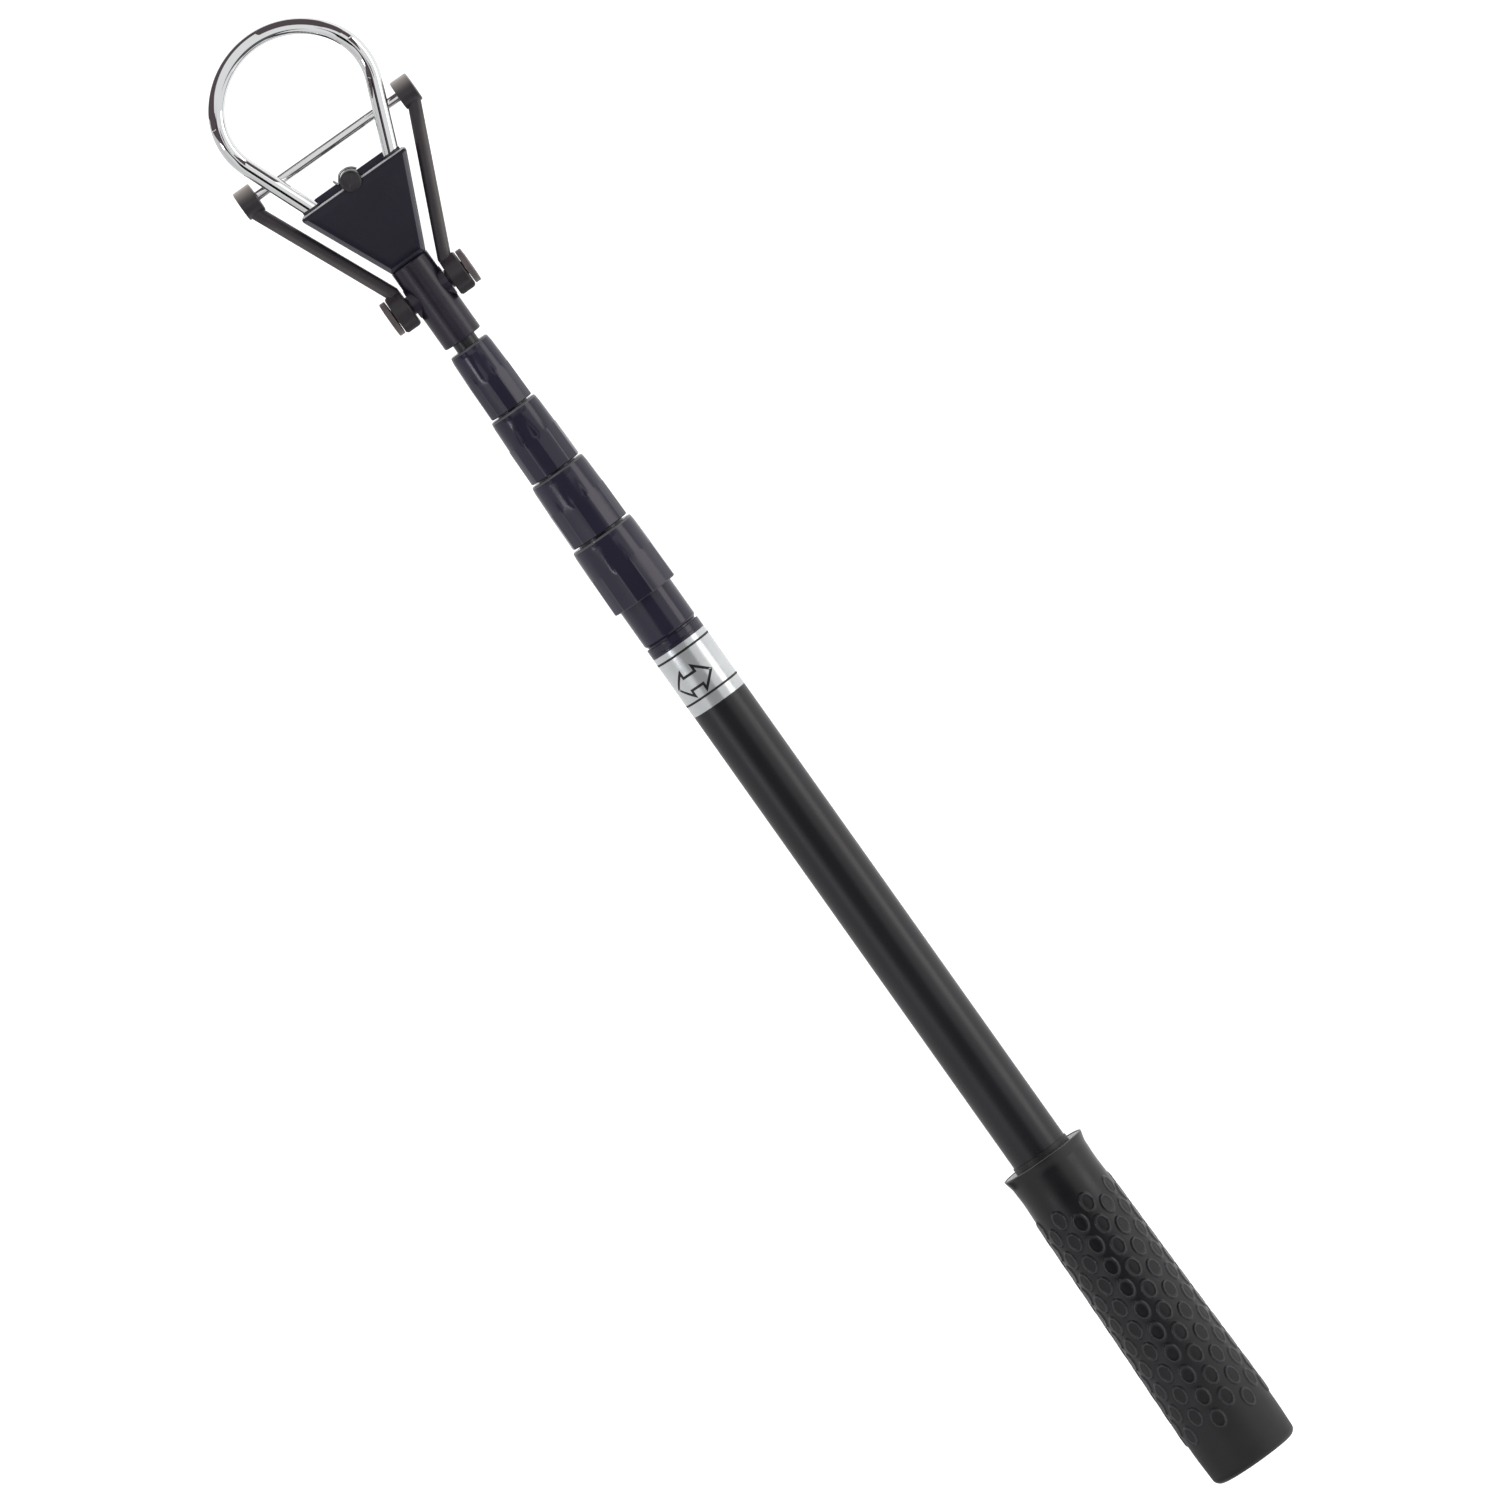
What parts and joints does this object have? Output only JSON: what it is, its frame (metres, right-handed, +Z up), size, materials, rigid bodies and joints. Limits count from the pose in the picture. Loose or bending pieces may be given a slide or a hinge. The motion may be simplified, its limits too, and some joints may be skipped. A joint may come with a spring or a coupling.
{
  "type": "golf ball retriever",
  "caption": "Telescoping golf ball retriever, closed: rubber grip, nested black tubes with twist-lock ferrules, and a chrome wire ball loop with a sprung gate.",
  "frame": {"origin": "centre of the bounding box in plan, at its lowest point: the ground under the middle of the closed retriever, lying down", "axes": "+X along the pole from the grip towards the ball loop, +Y across the head, +Z up, out of the face of the head plate"},
  "size_m": [0.5156, 0.0624, 0.0302],
  "materials": {
    "grip_rubber": "moulded satin rubber with raised ovals",
    "stop_ring_plastic": "satin",
    "moulded_plastic": "moulded satin",
    "expander_plastic": "natural acetal",
    "painted_tube": "satin black paint on aluminium tube",
    "section_paint": "satin black anodised aluminium tube",
    "gloss_ferrule": "glossy moulded plastic",
    "foil_label": "printed silver foil",
    "head_plastic": "satin moulded plastic",
    "boss_plastic": "satin moulded plastic",
    "collar_plastic": "satin moulded plastic",
    "arm_plastic": "satin moulded plastic",
    "pin_plastic": "satin moulded plastic",
    "chrome_wire": "bright chrome plated steel wire",
    "chrome_rod": "bright chrome plated steel rod",
    "spring_wire": "bright spring wire"
  },
  "bodies": {
    "handle": {"grip": "grip_rubber", "grip_stop_ring": "stop_ring_plastic", "tube_plug": "moulded_plastic", "handle_tube": "painted_tube", "tube_end_ring": "gloss_ferrule", "label_band": "foil_label", "handle_ferrule": "gloss_ferrule"},
    "lock_2": {"section_2_expander": "expander_plastic"},
    "section_2": {"section_2_tube": "section_paint", "section_2_lock_plug": "moulded_plastic", "section_2_lock_cap": "moulded_plastic", "section_2_ferrule": "gloss_ferrule"},
    "lock_3": {"section_3_expander": "expander_plastic"},
    "section_3": {"section_3_tube": "section_paint", "section_3_lock_plug": "moulded_plastic", "section_3_lock_cap": "moulded_plastic", "section_3_ferrule": "gloss_ferrule"},
    "lock_4": {"section_4_expander": "expander_plastic"},
    "section_4": {"section_4_tube": "section_paint", "section_4_lock_plug": "moulded_plastic", "section_4_lock_cap": "moulded_plastic", "section_4_ferrule": "gloss_ferrule"},
    "lock_5": {"section_5_expander": "expander_plastic"},
    "head": {"section_5_tube": "section_paint", "section_5_lock_plug": "moulded_plastic", "section_5_lock_cap": "moulded_plastic", "head_socket": "head_plastic", "head_front_shell": "head_plastic", "head_rear_shell": "head_plastic", "head_boss": "boss_plastic", "boss_clip": "spring_wire", "ball_loop": "chrome_wire", "leg_collar_left": "collar_plastic", "leg_collar_right": "collar_plastic", "gate_spring": "spring_wire"},
    "gate": {"gate_arm_left": "arm_plastic", "gate_arm_right": "arm_plastic", "gate_rod": "chrome_rod", "hinge_pin": "pin_plastic", "hinge_pin_cap": "pin_plastic"}
  },
  "joints": [
    {"name": "slide_2", "type": "slide", "parent": "handle", "child": "lock_2", "axis": [1, 0, 0], "range_m": [0, 0.25]},
    {"name": "twist_2", "type": "hinge", "parent": "lock_2", "child": "section_2", "pos_m": [0, 0, 0.0151], "axis": [1, 0, 0], "range_deg": [0, 120]},
    {"name": "slide_3", "type": "slide", "parent": "section_2", "child": "lock_3", "axis": [1, 0, 0], "range_m": [0, 0.285]},
    {"name": "twist_3", "type": "hinge", "parent": "lock_3", "child": "section_3", "pos_m": [0, 0, 0.0151], "axis": [1, 0, 0], "range_deg": [0, 120]},
    {"name": "slide_4", "type": "slide", "parent": "section_3", "child": "lock_4", "axis": [1, 0, 0], "range_m": [0, 0.28]},
    {"name": "twist_4", "type": "hinge", "parent": "lock_4", "child": "section_4", "pos_m": [0, 0, 0.0151], "axis": [1, 0, 0], "range_deg": [0, 120]},
    {"name": "slide_5", "type": "slide", "parent": "section_4", "child": "lock_5", "axis": [1, 0, 0], "range_m": [0, 0.275]},
    {"name": "twist_5", "type": "hinge", "parent": "lock_5", "child": "head", "pos_m": [0, 0, 0.0151], "axis": [1, 0, 0], "range_deg": [0, 120]},
    {"name": "gate_hinge", "type": "hinge", "parent": "head", "child": "gate", "pos_m": [0.1648, 0, 0.0151], "axis": [0, 1, 0], "range_deg": [0, 80], "stiffness_Nm_per_rad": 0.03, "springref_deg": -20.05}
  ]
}
